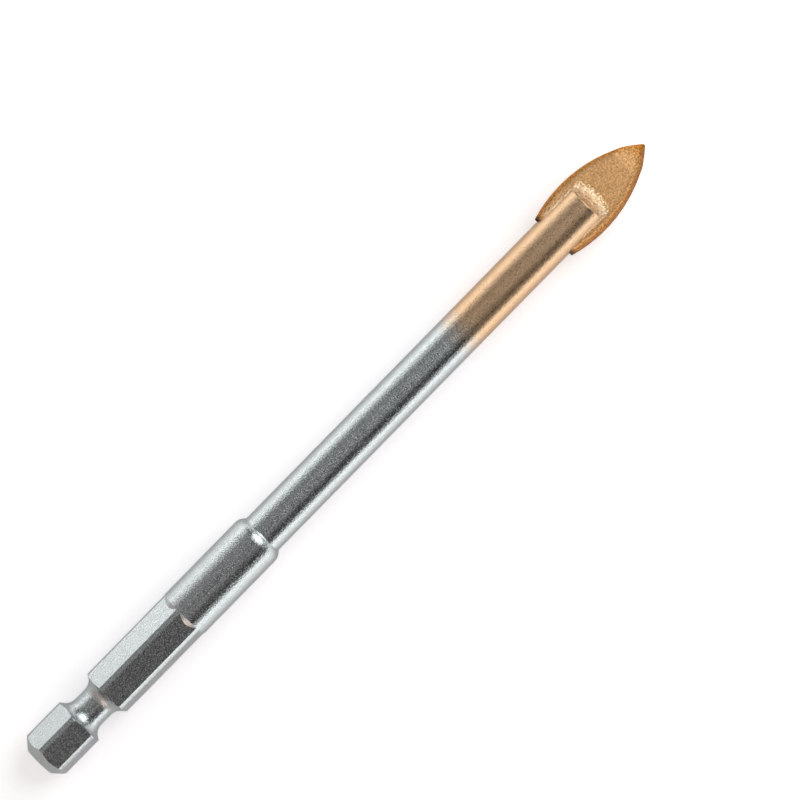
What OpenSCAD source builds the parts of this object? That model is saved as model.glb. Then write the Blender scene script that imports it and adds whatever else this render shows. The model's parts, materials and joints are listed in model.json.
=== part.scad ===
// Glass and tile drill bit with a hexagonal quick-change shank, lying on its side.
// Millimetres. The bit's axis runs along +X, from the shank's end face to the point, and +Z is up.
// The origin is under the middle of the bit, on the surface that its collar lies on.

/* [Overall] */
// Length from the end face of the shank to the point
overall_len = 107; // [90:0.5:160]
// Length of the tip that stands out past the end of the shaft
tip_reach = 10.2; // [8:0.1:14]

/* [Shank and collar] */
// Diameter of the bar that the shank and the collar are made from
bar_d = 6.9; // [6.6:0.05:7.3]
// Width across the flats of the hexagon milled on the bar
hex_af = 6.35; // [5.6:0.05:6.6]
// Length from the end face to the end of the flats
hex_len = 25.7; // [20:0.1:40]
// Turn of the hexagon about the axis, from a flat that faces up
hex_roll = 17; // [0:1:59]
// Slope of the conical run-out at the end of each flat, from the axis
runout_angle = 27; // [15:1:45]
// Diameter of the flat end face
end_face_d = 4.1; // [3:0.1:5.4]
// Slope of the end chamfer, from the axis
chamfer_angle = 48; // [30:1:60]
// Length of the round collar before its shoulder
collar_len = 12.5; // [6:0.5:25]

/* [Detent groove] */
// Distance from the end face to the middle of the groove
groove_pos = 9.5; // [8:0.1:14]
// Diameter at the floor of the groove
groove_d = 4.5; // [3.5:0.1:5.5]
// Length of the straight floor of the groove
groove_floor = 1.6; // [0.4:0.1:3]
// Radius of the curved walls of the groove
groove_wall_r = 1.75; // [0.8:0.05:2.5]

/* [Shaft] */
// Diameter of the shaft
shaft_d = 5.6; // [4.5:0.1:6.4]
// Radius of the rounded shoulder between the collar and the shaft
shoulder_r = 1.6; // [0.5:0.1:2.5]
// Radius of the fillet at the foot of the shoulder
shoulder_fillet_r = 0.4; // [0.2:0.1:1]
// Rounding of the edge at the end of the shaft
shaft_edge_r = 0.15; // [0.05:0.05:0.4]

/* [Carbide tip] */
// Cutting diameter, which is the width over the cutting edges of the plate
tip_d = 8; // [6.5:0.5:12]
// Thickness of the plate
tip_t = 2; // [1.4:0.1:2.6]
// Distance from the widest place to the point
point_len = 10.9; // [8:0.1:16]
// Distance from the widest place back to the heel
heel_len = 5.2; // [3:0.1:8]
// Width of the ground relief wall along each edge, seen square to the face
relief_w = 0.9; // [0.3:0.05:1.4]
// Width of the honed land along each cutting edge, seen square to the face
land_w = 0.35; // [0.1:0.05:0.6]
// Slope of the land, from the face
land_angle = 40; // [20:1:50]
// Length of the bevels that thin the plate behind the point
bevel_len = 3.6; // [2:0.1:6]
// Thickness left at the point
point_t = 0.35; // [0.2:0.05:0.8]
// Chamfer along the edges of the heel
heel_chamfer = 0.45; // [0.1:0.05:0.6]

/* [Braze] */
// Thickness of the braze film in the slot
braze_gap = 0.1; // [0.05:0.01:0.25]
// Distance that the braze runs out in front of the shaft
braze_reach = 2.3; // [1.5:0.1:3]
// Radius of the curved toe of that braze, seen square to the face
braze_toe_r = 6; // [4:0.1:9]
// Hollow radius of that braze
braze_front_r = 3; // [2.4:0.1:5]
// Hollow radius of the braze along the side seams
braze_seam_r = 0.9; // [0.4:0.05:1.2]
// Angle at which the side seams meet the shaft and the plate
braze_wet_angle = 15; // [10:1:40]

/* [Hidden] */
$fn = 96;

// Segments of the large arcs at the edges of the plate
arc_fn = 360;
// Distance that a cutter runs past the surface that it cuts
past = 1;

// Shank and collar
bar_r = bar_d / 2;
flat_r = hex_af / 2;
flat_depth = bar_r - flat_r;
runout_len = flat_depth / tan(runout_angle);
end_face_r = end_face_d / 2;
chamfer_len = (bar_r - end_face_r) / tan(chamfer_angle);
groove_r = groove_d / 2;
groove_wall_top = groove_r + groove_wall_r;
groove_half_len = groove_floor / 2 + groove_wall_r;

// Shoulder, whose round and fillet are two arcs that touch
shaft_r = shaft_d / 2;
shaft_end = overall_len - tip_reach;
shoulder_start = hex_len + collar_len;
blend_r = shoulder_r + shoulder_fillet_r;
blend_rise = max(0, blend_r - (bar_r - shaft_r));
blend_len = sqrt(blend_r ^ 2 - blend_rise ^ 2);
blend_dir = [blend_rise, blend_len] / blend_r;
shoulder_centre = [bar_r - shoulder_r, shoulder_start];
fillet_centre = [shaft_r + shoulder_fillet_r, shoulder_start + blend_len];

// Plate, whose edges are arcs that meet at the point on its middle plane
widest = overall_len - point_len;
heel = widest - heel_len;
face_y = tip_t / 2;
edge_y = face_y - land_w * tan(land_angle);
mid_half_w = tip_d / 2 - relief_w * edge_y / tip_t;
arc_r = (point_len ^ 2 + mid_half_w ^ 2) / (2 * mid_half_w);
arc_offset = arc_r - mid_half_w;
relief_face_r = arc_r - relief_w / 2;
land_face_r = arc_offset + tip_d / 2 - land_w;
land_spread = tip_t / tan(land_angle);

// Slot
slot_w = tip_t + 2 * braze_gap;
slot_floor = heel - braze_gap;

// Braze film, which stays back a little from the surface of the shaft
film_inset = braze_gap / 2;
film_r = shaft_r - film_inset;
film_end = shaft_end - film_inset;

// Hollow braze in front of the shaft, turned about an upright axis behind the shaft's end: an arc from that
// end to a toe just under the face of the plate
front_axis = shaft_end + braze_reach - braze_toe_r;
front_top = [shaft_end - front_axis - braze_gap, shaft_r - shaft_edge_r - film_inset];
front_toe = [braze_toe_r, face_y - braze_gap];
front_span = front_toe - front_top;
front_dir = front_span / norm(front_span);
front_bulge = sqrt(braze_front_r ^ 2 - (norm(front_span) / 2) ^ 2);
front_centre = (front_top + front_toe) / 2 + front_bulge * [-front_dir[1], front_dir[0]];

// Hollow braze along the seams: an arc that meets the shaft and the face of the plate at the same angle
seam_start = heel + heel_chamfer + braze_gap;
seam_end = shaft_end - shaft_edge_r;
seam_rise = braze_seam_r * cos(braze_wet_angle);
seam_y = face_y + seam_rise;
seam_x = sqrt((shaft_r + seam_rise) ^ 2 - seam_y ^ 2);

// Lays a piece that is drawn upright on its side, with the faces of the plate level
module lay() {
    translate([-overall_len / 2, 0, bar_r])
        rotate([90, 0, 90])
            children();
}

// Half outline of the turned bar, from the chamfered end to the end of the shaft
module bar_outline() {
    difference() {
        union() {
            polygon([
                [0, 0],
                [end_face_r, 0],
                [bar_r, chamfer_len],
                [bar_r, shoulder_start],
                shoulder_centre + shoulder_r * blend_dir,
                fillet_centre - shoulder_fillet_r * blend_dir,
                [shaft_r, shoulder_start + blend_len],
                [shaft_r, shaft_end - shaft_edge_r],
                [shaft_r - shaft_edge_r, shaft_end],
                [0, shaft_end]
            ]);
            translate(shoulder_centre)
                intersection() {
                    circle(r = shoulder_r);
                    square([shoulder_r, shoulder_r * blend_dir[1]]);
                }
            translate([shaft_r - shaft_edge_r, shaft_end - shaft_edge_r])
                circle(r = shaft_edge_r);
        }
        translate(fillet_centre)
            circle(r = shoulder_fillet_r);
    }
}

// Turned bar before it is milled
module turned_bar() {
    rotate_extrude()
        bar_outline();
}

// Steel that milling takes off the flats, with a conical run-out at the end of each
module flats_cut() {
    difference() {
        translate([0, 0, -past])
            cylinder(h = past + hex_len + runout_len, r = bar_d);
        rotate(hex_roll)
            translate([0, 0, -2 * past])
                cylinder(h = 3 * past + hex_len + runout_len, r = flat_r / cos(30), $fn = 6);
        translate([0, 0, hex_len - 2 * runout_len])
            cylinder(h = 4 * runout_len, r1 = bar_r - 2 * flat_depth, r2 = bar_r + 2 * flat_depth);
    }
}

// Half outline of the detent groove, with round corners at its floor
module groove_outline() {
    translate([groove_r, -groove_floor / 2])
        square([bar_r, groove_floor]);
    translate([groove_wall_top, -groove_half_len])
        square([bar_r, 2 * groove_half_len]);
    for (side = [-1, 1])
        translate([groove_wall_top, side * groove_floor / 2])
            circle(r = groove_wall_r);
}

// Groove that the ball of a quick-change chuck drops into
module groove_cut() {
    translate([0, 0, groove_pos])
        rotate_extrude()
            groove_outline();
}

// Slot sawn across the end of the shaft
module slot_cut() {
    translate([-bar_d, -slot_w / 2, slot_floor])
        cube([2 * bar_d, slot_w, shaft_end - slot_floor + past]);
}

// Turned bar with its slot
module slotted_bar() {
    difference() {
        turned_bar();
        slot_cut();
    }
}

// Steel bar with its hexagonal shank, groove, collar, shaft and slot
module steel_body() {
    color("silver")
        lay()
            difference() {
                slotted_bar();
                flats_cut();
                groove_cut();
            }
}

// Side view of the plate: chamfered heel, parallel faces, thinned point
module plate_side_outline() {
    polygon([
        [-face_y + heel_chamfer, heel],
        [face_y - heel_chamfer, heel],
        [face_y, heel + heel_chamfer],
        [face_y, overall_len - bevel_len],
        [point_t / 2, overall_len],
        [-point_t / 2, overall_len],
        [-face_y, overall_len - bevel_len],
        [-face_y, heel + heel_chamfer]
    ]);
}

// Places a round that is drawn about +Z at the centre of one edge's arc
module at_arc_centre() {
    translate([arc_offset, 0, widest])
        rotate([-90, 0, 0])
            children();
}

// Cone whose side is the relief wall of one edge, narrowest at the upper face
module relief_cone() {
    at_arc_centre()
        cylinder(h = tip_t, r1 = relief_face_r + relief_w, r2 = relief_face_r, center = true, $fn = arc_fn);
}

// Cone whose side is the honed land of one edge, narrowest at the lower face
module land_cone() {
    at_arc_centre()
        cylinder(h = tip_t, r1 = land_face_r, r2 = land_face_r + land_spread, center = true, $fn = arc_fn);
}

// Both walls of one edge
module edge_walls() {
    intersection() {
        relief_cone();
        land_cone();
    }
}

// Spear-point plate, the same when it is turned half round
module plate() {
    intersection() {
        rotate([90, 0, 90])
            linear_extrude(height = 2 * tip_d, center = true)
                plate_side_outline();
        edge_walls();
        rotate(180)
            edge_walls();
    }
}

// Sintered carbide plate in its slot
module carbide_tip() {
    color("goldenrod")
        lay()
            plate();
}

// Round of the braze film, which fills the slot to its floor
module braze_film() {
    translate([0, 0, slot_floor - past])
        cylinder(h = film_end - slot_floor + past, r = film_r);
}

// Half outline of the hollow braze in front of the shaft, from the middle of the plate up
module braze_front_outline() {
    difference() {
        polygon([
            [0, 0],
            [front_toe[0], 0],
            front_toe,
            front_top,
            [0, front_top[1]]
        ]);
        translate(front_centre)
            circle(r = braze_front_r);
    }
}

// Hollow braze in front of the shaft on the upper face, kept within the round of the shaft's end
module braze_front() {
    intersection() {
        translate([0, 0, front_axis])
            rotate([-90, 0, 0])
                rotate_extrude()
                    braze_front_outline();
        translate([0, 0, shaft_end - past])
            cylinder(h = braze_reach + 2 * past, r = front_top[1]);
    }
}

// Section of the hollow braze in one corner between the shaft and the plate
module braze_seam_outline() {
    difference() {
        polygon([
            [0, 0],
            [seam_x, face_y - braze_gap],
            [seam_x, seam_y]
        ]);
        translate([seam_x, seam_y])
            circle(r = braze_seam_r);
    }
}

// Column that stands on the upper face of the plate, just inside its edges
module face_column() {
    intersection() {
        at_arc_centre()
            cylinder(h = bar_d, r = relief_face_r - braze_gap, center = true, $fn = arc_fn);
        rotate(180)
            at_arc_centre()
                cylinder(h = bar_d, r = land_face_r - braze_gap, center = true, $fn = arc_fn);
    }
}

// Braze seams on the upper face, which run out towards the end of the shaft
module braze_seams() {
    intersection() {
        for (side = [0, 1])
            mirror([side, 0, 0])
                translate([0, 0, seam_start])
                    linear_extrude(height = seam_end - seam_start)
                        braze_seam_outline();
        face_column();
        translate([0, 0, slot_floor])
            cylinder(h = seam_end - slot_floor, r1 = shaft_d, r2 = shaft_r - braze_gap);
    }
}

// Braze in the slot, with its hollow fronts and side seams, around the plate
module braze_joint() {
    color("tan")
        lay()
            difference() {
                union() {
                    braze_film();
                    for (turn = [0, 180])
                        rotate(turn) {
                            braze_front();
                            braze_seams();
                        }
                }
                slotted_bar();
                plate();
            }
}

steel_body();
carbide_tip();
braze_joint();
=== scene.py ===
"""Looks of a drill bit for glass and tile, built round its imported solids.

The bit lies along X with its point towards +X and rests on the floor at Z = 0. Objects are in metres. The
sizes in the classes below are in millimetres, as a maker writes them, and MM turns them into metres.
A station is a distance along the axis from the shank's end face. A bearing is an angle round the axis, from
straight up towards +Y.
"""
import json
import logging
import math
from dataclasses import dataclass
from enum import Enum
from functools import partial
from typing import Any

import bmesh
import bpy
from mathutils import Matrix, Vector


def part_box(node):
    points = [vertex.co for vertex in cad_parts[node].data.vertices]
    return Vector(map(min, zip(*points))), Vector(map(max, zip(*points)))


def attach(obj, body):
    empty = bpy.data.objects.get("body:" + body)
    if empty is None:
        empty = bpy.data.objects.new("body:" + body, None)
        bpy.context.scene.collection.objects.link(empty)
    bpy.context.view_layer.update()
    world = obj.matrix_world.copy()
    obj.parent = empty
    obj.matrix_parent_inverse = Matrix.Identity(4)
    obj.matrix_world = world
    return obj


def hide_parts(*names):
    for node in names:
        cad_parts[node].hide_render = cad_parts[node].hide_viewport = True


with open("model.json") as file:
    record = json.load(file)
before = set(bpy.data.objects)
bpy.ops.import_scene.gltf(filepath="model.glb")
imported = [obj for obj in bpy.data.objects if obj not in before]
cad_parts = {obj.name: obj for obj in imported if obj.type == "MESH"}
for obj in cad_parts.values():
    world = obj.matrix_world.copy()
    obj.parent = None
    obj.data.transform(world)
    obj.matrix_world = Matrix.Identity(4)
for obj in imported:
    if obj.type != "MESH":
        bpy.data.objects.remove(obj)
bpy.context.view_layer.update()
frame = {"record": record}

LOG = logging.getLogger("drill_bit")
MM = 0.001
BODY = "root"
# Doubles closer than this are one vertex, in metres
WELD = 1e-6
# Values between which most of a noise texture lies, its middle, and how many finer layers a grain has
NOISE_RANGE = (0.3, 0.7)
NOISE_MIDDLE = 0.5
NOISE_DETAIL = 3.0
# Sockets of a mix node: its share, its two values, its two colours, and the mixed colour that it gives
SHARE, VALUE_A, VALUE_B, COLOUR_A, COLOUR_B, MIXED = 0, 2, 3, 6, 7, 2
# Degrees in a full turn, flats of the shank, and degrees that each of them takes up
TURN = 360
FLATS = 6
SECTOR = TURN / FLATS
# Angle of the lowest point of an arc, in radians
DOWN = 1.5 * math.pi
# Share of a side that one rounded corner may take up
MOST_CUT = 0.45
# What the red, green and blue of a colour are multiplied by
Tint = tuple[float, float, float]
# Corners of each face
Faces = list[tuple[int, ...]]
# Vertices, faces, and how free each vertex is to move where the braze freezes in grains
Shell = tuple[list[Vector], Faces, list[float]]


class Slot(Enum):
    """Names of the record's material slots."""

    STEEL = "plated_steel"
    CARBIDE = "coated_carbide"
    BRAZE = "coated_braze"


class Side(Enum):
    """The two faces of the plate, as the sign of their height over the bit's axis."""

    UPPER = 1
    LOWER = -1


class Outline(Enum):
    """Outlines of the light panels, as the lamps call them."""

    OBLONG = "RECTANGLE"
    ROUND = "ELLIPSE"


def linear(hex_code: str) -> tuple[float, float, float, float]:
    """Turns an sRGB hex colour into linear light.

    Args:
        hex_code: colour such as "#C2C7C6".

    Returns:
        Linear red, green and blue, and an alpha of 1.
    """
    parts = [int(hex_code[i:i + 2], 16) / 255 for i in (1, 3, 5)]
    # The standard's own curve: straight near black, and a power above that
    light = [p / 12.92 if p <= 0.04045 else ((p + 0.055) / 1.055) ** 2.4 for p in parts]
    return light[0], light[1], light[2], 1.0


def feed(tree: bpy.types.NodeTree, node: Any, inputs: dict[Any, Any]) -> None:
    """Sets or links inputs of a node.

    Args:
        tree: the node's tree.
        node: the node.
        inputs: for each input's name or index a value, a socket to link from, or a node whose first output
            is linked.
    """
    for key, value in inputs.items():
        if isinstance(value, bpy.types.Node):
            value = value.outputs[0]
        if isinstance(value, bpy.types.NodeSocket):
            tree.links.new(value, node.inputs[key])
        else:
            node.inputs[key].default_value = value


def add_node(
    tree: bpy.types.NodeTree, kind: str, inputs: dict[Any, Any] | None = None, **settings: Any
) -> Any:
    """Adds a node with its settings, values and links.

    Args:
        tree: node tree that gets the node.
        kind: Blender's own name for the kind of node.
        inputs: what its inputs are fed.
        settings: properties of the node.

    Returns:
        The new node.
    """
    node = tree.nodes.new(kind)
    for name, value in settings.items():
        setattr(node, name, value)
    feed(tree, node, inputs or {})
    return node


def spread(start: float, end: float, steps: int) -> list[float]:
    """Values in equal steps from a start to an end, both included."""
    return [start + (end - start) * k / steps for k in range(steps + 1)]


def bowed(start: Vector, pull: Vector, end: Vector, steps: int) -> list[Vector]:
    """Points along a curve that is pulled towards a corner.

    Args:
        start: first point.
        pull: the corner.
        end: last point.
        steps: pieces of the curve.

    Returns:
        The points, both ends included.
    """
    return [start * (1 - t) ** 2 + pull * (2 * t * (1 - t)) + end * t ** 2 for t in spread(0, 1, steps)]


def rounded(corners: list[Vector], cuts: list[float], steps: int, closed: bool) -> list[Vector]:
    """Breaks the corners of an outline with small curves.

    Args:
        corners: corners of the outline, in order.
        cuts: how far each corner is cut back along its two sides, 0 for a sharp one.
        steps: pieces of each curve.
        closed: whether the last corner joins the first.

    Returns:
        The points of the outline.
    """
    points = []
    count = len(corners)
    for i, (corner, cut) in enumerate(zip(corners, cuts)):
        inner = closed or 0 < i < count - 1
        if not inner or cut == 0:
            points.append(corner)
            continue
        to_last = corners[i - 1] - corner
        to_next = corners[(i + 1) % count] - corner
        start = corner + to_last.normalized() * min(cut, MOST_CUT * to_last.length)
        end = corner + to_next.normalized() * min(cut, MOST_CUT * to_next.length)
        points += bowed(start, corner, end, steps)
    return points


def arc(centre: tuple[float, float], radius: float, start: float, end: float, steps: int) -> list[Vector]:
    """Points along an arc, from one angle to another, in radians.

    Args:
        centre: middle of the arc.
        radius: radius of the arc.
        start: angle of the first point from the first axis towards the second.
        end: angle of the last point.
        steps: pieces of the arc.

    Returns:
        The points, both ends included.
    """
    x, y = centre
    angles = spread(start, end, steps)
    return [Vector((x + radius * math.cos(a), y + radius * math.sin(a))) for a in angles]


def smooth_min(a: float, b: float, width: float) -> float:
    """Lesser of two values, with a soft turn from one to the other over that width."""
    near = max(width - abs(a - b), 0) / width
    return min(a, b) - near ** 3 * width / 6


def grid_faces(rows: int, columns: int, tube: bool = False) -> Faces:
    """Faces of a grid of vertices that are listed row by row.

    Args:
        rows: rows of vertices.
        columns: vertices of a row.
        tube: whether the rows are rings, of which the first and the last are closed.

    Returns:
        Corners of each face.
    """
    faces: Faces = []
    for row in range(0, (rows - 1) * columns, columns):
        for j in range(columns if tube else columns - 1):
            after = (j + 1) % columns
            faces.append((row + j, row + columns + j, row + columns + after, row + after))
    if tube:
        last = (rows - 1) * columns
        faces += [tuple(range(columns)), tuple(reversed(range(last, last + columns)))]
    return faces


@dataclass(frozen=True)
class Places:
    """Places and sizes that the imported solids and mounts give.

    Attributes:
        shank_end: X of the shank's end face, in metres.
        axis_height: height of the axis over the floor, which is the bar's radius, in metres.
        bar_r: radius of the bar.
        flat_r: distance of the hexagon's flats from the axis.
        flat_bearing: bearing of one flat, in radians.
        flats_end: station at which the flats end.
        shaft_end: station of the shaft's end.
        heel: station of the plate's heel.
        point: station of the point.
        plate_t: thickness of the plate.
    """

    shank_end: float
    axis_height: float
    bar_r: float
    flat_r: float
    flat_bearing: float
    flats_end: float
    shaft_end: float
    heel: float
    point: float
    plate_t: float

    @classmethod
    def read(cls, record: dict[str, Any]) -> "Places":
        """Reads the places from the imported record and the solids' boxes.

        Args:
            record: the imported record.

        Returns:
            The places.
        """
        mounts = {mount["name"]: mount for mount in record["mounts"]}
        start = Vector(mounts["hex_shank"]["pos_m"])
        normal = Vector(mounts["drive_flat"]["axis"])
        flat = Vector(mounts["drive_flat"]["pos_m"]) - start
        body_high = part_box("steel_body")[1]
        plate_low, plate_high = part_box("carbide_tip")
        return cls(
            shank_end=start.x,
            axis_height=start.z,
            bar_r=start.z / MM,
            flat_r=flat.dot(normal) / MM,
            flat_bearing=math.atan2(normal.y, normal.z),
            flats_end=mounts["hex_shank"]["dims"]["length_mm"],
            shaft_end=(body_high.x - start.x) / MM,
            heel=(plate_low.x - start.x) / MM,
            point=(plate_high.x - start.x) / MM,
            plate_t=(plate_high.z - plate_low.z) / MM,
        )

    def at(self, station: float, across: float, height: float) -> Vector:
        """Place in metres of a point at a station, an offset towards +Y and a height over the axis."""
        return Vector((self.shank_end + station * MM, across * MM, self.axis_height + height * MM))


def new_mesh(
    name: str, points: list[Vector], faces: Faces, marks: dict[str, list[float]] | None = None
) -> bpy.types.Mesh:
    """Makes a smooth-shaded mesh.

    Args:
        name: name of the mesh.
        points: vertices, in metres.
        faces: corners of each face.
        marks: for each attribute's name its value at every vertex.

    Returns:
        The mesh.
    """
    mesh = bpy.data.meshes.new(name)
    mesh.from_pydata(points, [], faces, shade_flat=False)
    for mark, values in (marks or {}).items():
        mesh.attributes.new(mark, "FLOAT", "POINT").data.foreach_set("value", values)
    return mesh


def weld(mesh: bpy.types.Mesh) -> None:
    """Merges the doubles of a mesh.

    Args:
        mesh: the mesh.
    """
    work = bmesh.new()
    work.from_mesh(mesh)
    bmesh.ops.remove_doubles(work, verts=work.verts, dist=WELD)
    work.to_mesh(mesh)
    work.free()


def new_object(name: str, mesh: bpy.types.Mesh) -> bpy.types.Object:
    """Puts a mesh into the scene as an object at the origin.

    Args:
        name: name of the object.
        mesh: its mesh.

    Returns:
        The object.
    """
    piece = bpy.data.objects.new(name, mesh)
    bpy.context.scene.collection.objects.link(piece)
    return piece


def geometry_tree(name: str, sizes: tuple[str, ...]) -> tuple[bpy.types.NodeTree, Any]:
    """Starts a Geometry Nodes tree that is given a geometry, sizes and a material.

    Args:
        name: name of the tree.
        sizes: names of the sizes.

    Returns:
        The tree and the sockets of what it is given.
    """
    tree = bpy.data.node_groups.new(name, "GeometryNodeTree")
    given = {"Geometry": "NodeSocketGeometry", **dict.fromkeys(sizes, "NodeSocketFloat")}
    given["Material"] = "NodeSocketMaterial"
    for label, kind in given.items():
        tree.interface.new_socket(label, in_out="INPUT", socket_type=kind)
    tree.interface.new_socket("Geometry", in_out="OUTPUT", socket_type="NodeSocketGeometry")
    return tree, add_node(tree, "NodeGroupInput").outputs


def end_tree(tree: bpy.types.NodeTree, geometry: Any, material: Any) -> None:
    """Ends a tree in plain geometry that has its material.

    Args:
        tree: the tree.
        geometry: node of the finished geometry.
        material: socket of the material.
    """
    real = add_node(tree, "GeometryNodeRealizeInstances", {0: geometry})
    dressed = add_node(tree, "GeometryNodeSetMaterial", {0: real, "Material": material})
    add_node(tree, "NodeGroupOutput", {0: dressed})


def grown(
    name: str, base: bpy.types.Mesh, tree: bpy.types.NodeTree, values: dict[str, Any]
) -> bpy.types.Object:
    """Runs a tree on a base mesh and keeps the result as a plain mesh.

    Args:
        name: name of the piece.
        base: mesh that the tree starts from.
        tree: Geometry Nodes tree.
        values: value for each of the tree's named inputs.

    Returns:
        The piece, with no modifier left on it.
    """
    piece = new_object(name, base)
    modifier = piece.modifiers.new(tree.name, "NODES")
    modifier.node_group = tree
    for item in tree.interface.items_tree:
        if item.name in values:
            modifier[item.identifier] = values[item.name]
    ready = piece.evaluated_get(bpy.context.evaluated_depsgraph_get())
    mesh = bpy.data.meshes.new_from_object(ready)
    piece.modifiers.remove(modifier)
    piece.data = mesh
    mesh.name = name
    bpy.data.meshes.remove(base)
    return piece


def surface_tree(name: str) -> tuple[bpy.types.Material, bpy.types.NodeTree, Any]:
    """Starts a material whose patterns are laid out in millimetres on the piece.

    Args:
        name: name of the material.

    Returns:
        The material, its tree and the node of the millimetre coordinates.
    """
    material = bpy.data.materials.new(name)
    material.use_nodes = True
    tree = material.node_tree
    place = add_node(tree, "ShaderNodeTexCoord").outputs["Object"]
    scaled = add_node(tree, "ShaderNodeMapping", {"Vector": place, "Scale": (1 / MM,) * 3})
    return material, tree, scaled


def grained(tree: bpy.types.NodeTree, place: Any, width: float) -> Any:
    """Adds a surface's grain, as a value that is 0 in its hollows and 1 on its crests.

    Args:
        tree: the material's tree.
        place: node of the millimetre coordinates.
        width: width of a grain, in millimetres.

    Returns:
        The node that gives the value.
    """
    pattern = {"Vector": place, "Scale": 1 / width, "Detail": NOISE_DETAIL}
    noise = add_node(tree, "ShaderNodeTexNoise", pattern)
    low, high = NOISE_RANGE
    return add_node(tree, "ShaderNodeMapRange", {"Value": noise, "From Min": low, "From Max": high})


def toned(tree: bpy.types.NodeTree, grain: Any, share: Any, strengths: tuple[float, float]) -> Any:
    """Weakens or strengthens a grain about its middle level.

    Args:
        tree: the material's tree.
        grain: node of the grain.
        share: node that says how much the second strength counts.
        strengths: strength of the grain where that share is 0 and where it is 1.

    Returns:
        The node of the changed grain.
    """
    low, high = strengths
    strength = add_node(tree, "ShaderNodeMapRange", {"Value": share, "To Min": low, "To Max": high})
    levels = {SHARE: strength, VALUE_A: NOISE_MIDDLE, VALUE_B: grain}
    return add_node(tree, "ShaderNodeMix", levels, clamp_factor=False)


def speckle(
    material: bpy.types.Material, finish: "PlatedSteel | CoatedCarbide | CoatedBraze", metal: Any, rough: Any,
    grain: Any,
) -> bpy.types.Material:
    """Makes a material a metal, whose grain lightens and darkens its colour and bends its highlights.

    The darkening in the hollows is painted shade, and the lightening on the crests is painted light.

    Args:
        material: the material.
        finish: the finish, for the depth of the grain and the painted shade and light of its hollows and
            crests.
        metal: socket of the plain colour.
        rough: node of the roughness.
        grain: node of the grain.

    Returns:
        The material.
    """
    tree = material.node_tree
    # Random tone, darker in the grain's hollows as painted shade and lighter on its crests as painted light
    grain_shade_and_light_tints = {SHARE: grain, COLOUR_A: (*finish.hollow, 1), COLOUR_B: (*finish.crest, 1)}
    grain_shade_and_light = add_node(tree, "ShaderNodeMix", grain_shade_and_light_tints, data_type="RGBA").outputs[MIXED]
    both = {SHARE: 1.0, COLOUR_A: metal, COLOUR_B: grain_shade_and_light}
    colour = add_node(tree, "ShaderNodeMix", both, data_type="RGBA", blend_type="MULTIPLY").outputs[MIXED]
    bump = add_node(tree, "ShaderNodeBump", {"Distance": finish.grain_depth * MM, "Height": grain})
    surface = {"Base Color": colour, "Roughness": rough, "Normal": bump, "Metallic": 1.0}
    feed(tree, tree.nodes["Principled BSDF"], surface)
    return material


@dataclass(frozen=True)
class PlatedSteel:
    """Steel, blasted with fine grit and nickel plated, with titanium nitride sputtered on its front.

    Attributes:
        nickel: colour of the plating.
        nitride: colour of the coating.
        nickel_roughness: roughness of the plating.
        nitride_roughness: roughness of the coating.
        grain: width of the blasted grain. It is finer on the real bar and drawn as coarse as it shows.
        grain_depth: depth of that grain.
        grain_short: how much shorter it is along the bar, where slopes show less in long highlights.
        grain_roughness: how much rougher its crests are than its hollows.
        grain_strengths: strength of that grain on the plating and on the coating.
        hollow: tint of its hollows, a painted shade.
        crest: tint of its crests, a painted highlight.
        pitch: width of the patches by which the coating's edge wanders.
        coat_start: station of the middle of the coating's soft edge.
        coat_fade: length of that edge.
        coat_sway: how far that edge wanders along the bar.
    """

    nickel: str = "#BCC2C2"
    nitride: str = "#D4B28E"
    nickel_roughness: float = 0.11
    nitride_roughness: float = 0.22
    grain: float = 0.24
    grain_depth: float = 0.016
    grain_short: float = 1.8
    grain_roughness: float = 0.18
    grain_strengths: tuple[float, float] = (1.1, 0.85)
    hollow: Tint = (0.87, 0.87, 0.87)
    crest: Tint = (1.12, 1.12, 1.12)
    pitch: float = 1.3
    coat_start: float = 74.6
    coat_fade: float = 5.0
    coat_sway: float = 0.9

    def material(self, places: Places) -> bpy.types.Material:
        """Builds the material.

        Args:
            places: where the bit lies, which places the coating's edge.

        Returns:
            The material.
        """
        # To the eye: blasting spreads each highlight into a soft band full of fine speckles, and nickel makes
        # it a slightly cool grey. The thin nitride keeps the grain and turns it gold along an uneven line.
        material, tree, place = surface_tree("blasted_nickel_plated_steel")
        node = partial(add_node, tree)
        along = node("ShaderNodeSeparateXYZ", {0: place})
        short = node("ShaderNodeVectorMath", {0: place, 1: (self.grain_short, 1, 1)}, operation="MULTIPLY")
        patches = grained(tree, place, self.pitch)
        sway = node("ShaderNodeMath", {0: patches, 1: self.coat_sway, 2: along}, operation="MULTIPLY_ADD")
        edge = places.shank_end / MM + self.coat_start + self.coat_sway / 2
        half = self.coat_fade / 2
        ends = {"Value": sway, "From Min": edge - half, "From Max": edge + half}
        coat = node("ShaderNodeMapRange", ends, interpolation_type="SMOOTHSTEP")
        grain = toned(tree, grained(tree, short, self.grain), coat, self.grain_strengths)
        metals = {SHARE: coat, COLOUR_A: linear(self.nickel), COLOUR_B: linear(self.nitride)}
        metal = node("ShaderNodeMix", metals, data_type="RGBA").outputs[MIXED]
        levels = {"Value": coat, "To Min": self.nickel_roughness, "To Max": self.nitride_roughness}
        sheen = node("ShaderNodeMapRange", levels)
        speckles = {0: grain, 1: self.grain_roughness, 2: sheen}
        rough = node("ShaderNodeMath", speckles, operation="MULTIPLY_ADD")
        return speckle(material, self, metal, rough, grain)


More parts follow.
